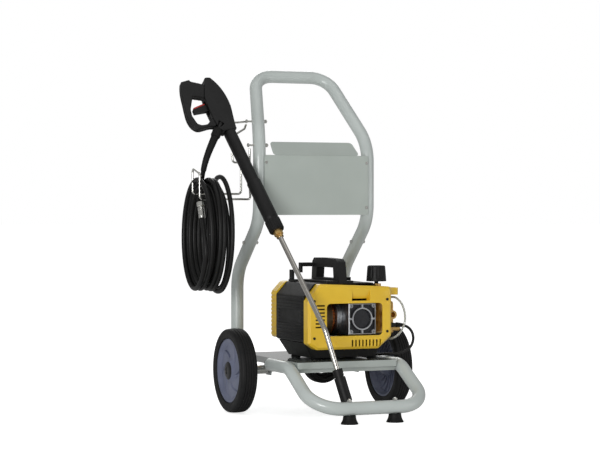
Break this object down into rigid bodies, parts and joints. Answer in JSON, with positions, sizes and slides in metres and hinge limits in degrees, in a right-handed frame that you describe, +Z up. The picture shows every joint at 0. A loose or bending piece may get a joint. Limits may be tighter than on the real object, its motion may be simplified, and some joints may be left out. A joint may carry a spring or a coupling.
{
  "type": "pressure washer",
  "caption": "Two-wheel tube trolley with an electric pump unit, a long spray gun and lance, a hung high-pressure hose and a mains lead.",
  "frame": {"origin": "centre of the footprint of everything but the hose and the lead, on the floor", "axes": "+X to the right of the trolley, +Y to its back (away from the front feet), +Z up"},
  "size_m": [0.6696, 0.681, 1.031],
  "materials": {
    "frame_paint": "light grey powder coat, satin",
    "black_plastic": "moulded, fine grain",
    "yellow_plastic": "moulded, semi-gloss",
    "hub_plastic": "moulded, satin",
    "cap_plastic": "moulded",
    "tyre_rubber": "matt",
    "foot_rubber": "matt",
    "hose_rubber": "satin cover",
    "zinc": "bright zinc",
    "steel": "bright drawn",
    "cast_aluminium": "die cast",
    "brass": "turned and forged",
    "copper_windings": "enamelled wire and lacquered steel",
    "clear_tube": "clear soft tube",
    "red_plastic": "moulded"
  },
  "bodies": {
    "trolley": {"axle": "steel", "axle_brackets": "frame_paint", "axle_spacers": "zinc", "back_panel": "frame_paint", "base_tray": "black_plastic", "bearings": "steel", "carry_handle": "black_plastic", "cord_gland": "black_plastic", "cover_screws": "zinc", "crankcase": "cast_aluminium", "crankcase_cover": "cast_aluminium", "cross_bolts": "zinc", "detergent_tube": "clear_tube", "foot_bolts": "zinc", "front_cover": "yellow_plastic", "front_feet": "foot_rubber", "front_hoop": "frame_paint", "gun_loop": "zinc", "gun_shell_left": "black_plastic", "gun_shell_right": "black_plastic", "gun_valve": "brass", "handle_hoop": "frame_paint", "hose_cradle": "zinc", "hose_end_fitting": "zinc", "lance_handle": "black_plastic", "lance_nut": "brass", "lance_tube": "steel", "lower_tubes": "frame_paint", "motor_housing": "black_plastic", "panel_screws": "zinc", "platform": "frame_paint", "plungers": "steel", "power_cord_coil": "hose_rubber", "power_cord_run": "hose_rubber", "power_plug": "hose_rubber", "pressure_hose_coil": "hose_rubber", "pressure_hose_run": "hose_rubber", "pressure_outlet": "brass", "pump_head": "brass", "rear_cover": "yellow_plastic", "regulator_body": "brass", "rubber_mounts": "foot_rubber", "stator": "copper_windings", "tube_plugs": "black_plastic", "valve_caps": "brass", "water_inlet": "brass"},
    "wheel_left": {"wheel_rim_left": "hub_plastic", "tyre_left": "tyre_rubber", "wheel_cap_left": "cap_plastic"},
    "wheel_right": {"wheel_rim_right": "hub_plastic", "tyre_right": "tyre_rubber", "wheel_cap_right": "cap_plastic"},
    "motor_rotor": {"rotor": "steel", "cooling_fan": "black_plastic"},
    "pressure_knob": {"regulator_knob": "black_plastic"},
    "switch_knob": {"power_switch": "black_plastic"},
    "gun_trigger": {"trigger": "black_plastic"},
    "trigger_latch": {"safety_latch": "red_plastic"},
    "lance_coupling": {"lance_collar": "black_plastic"},
    "spray_nozzle": {"nozzle": "black_plastic"}
  },
  "joints": [
    {"name": "wheel_left_spin", "type": "hinge", "parent": "trolley", "child": "wheel_left", "pos_m": [-0.2003, 0.1045, 0.125], "axis": [1, 0, 0], "continuous": true},
    {"name": "wheel_right_spin", "type": "hinge", "parent": "trolley", "child": "wheel_right", "pos_m": [0.3049, 0.1045, 0.125], "axis": [1, 0, 0], "continuous": true},
    {"name": "motor_spin", "type": "hinge", "parent": "trolley", "child": "motor_rotor", "pos_m": [0.0123, -0.0055, 0.283], "axis": [1, 0, 0], "continuous": true},
    {"name": "pressure_knob_turn", "type": "hinge", "parent": "trolley", "child": "pressure_knob", "pos_m": [0.1933, -0.0455, 0.41], "axis": [0, 0, 1], "range_deg": [0, 270]},
    {"name": "switch_turn", "type": "hinge", "parent": "trolley", "child": "switch_knob", "pos_m": [0.1183, 0.0045, 0.395], "axis": [0, 0, 1], "range_deg": [0, 75]},
    {"name": "trigger_pull", "type": "hinge", "parent": "trolley", "child": "gun_trigger", "pos_m": [-0.24868, 0.1895, 0.90568], "axis": [0, 0.8349, -0.5504], "range_deg": [0, 14], "stiffness_Nm_per_rad": 0.6, "springref_deg": -8.59},
    {"name": "latch_flip", "type": "hinge", "parent": "gun_trigger", "child": "trigger_latch", "pos_m": [-0.26586, 0.19566, 0.91502], "axis": [0, 0.8349, -0.5504], "range_deg": [0, 20]},
    {"name": "collar_turn", "type": "hinge", "parent": "trolley", "child": "lance_coupling", "pos_m": [-0.13325, -0.03897, 0.55912], "axis": [0.207, -0.5385, -0.8168], "range_deg": [0, 90]},
    {"name": "nozzle_turn", "type": "hinge", "parent": "trolley", "child": "spray_nozzle", "pos_m": [-0.02426, -0.26685, 0.11818], "axis": [0.2229, -0.209, -0.9522], "range_deg": [0, 180]}
  ]
}
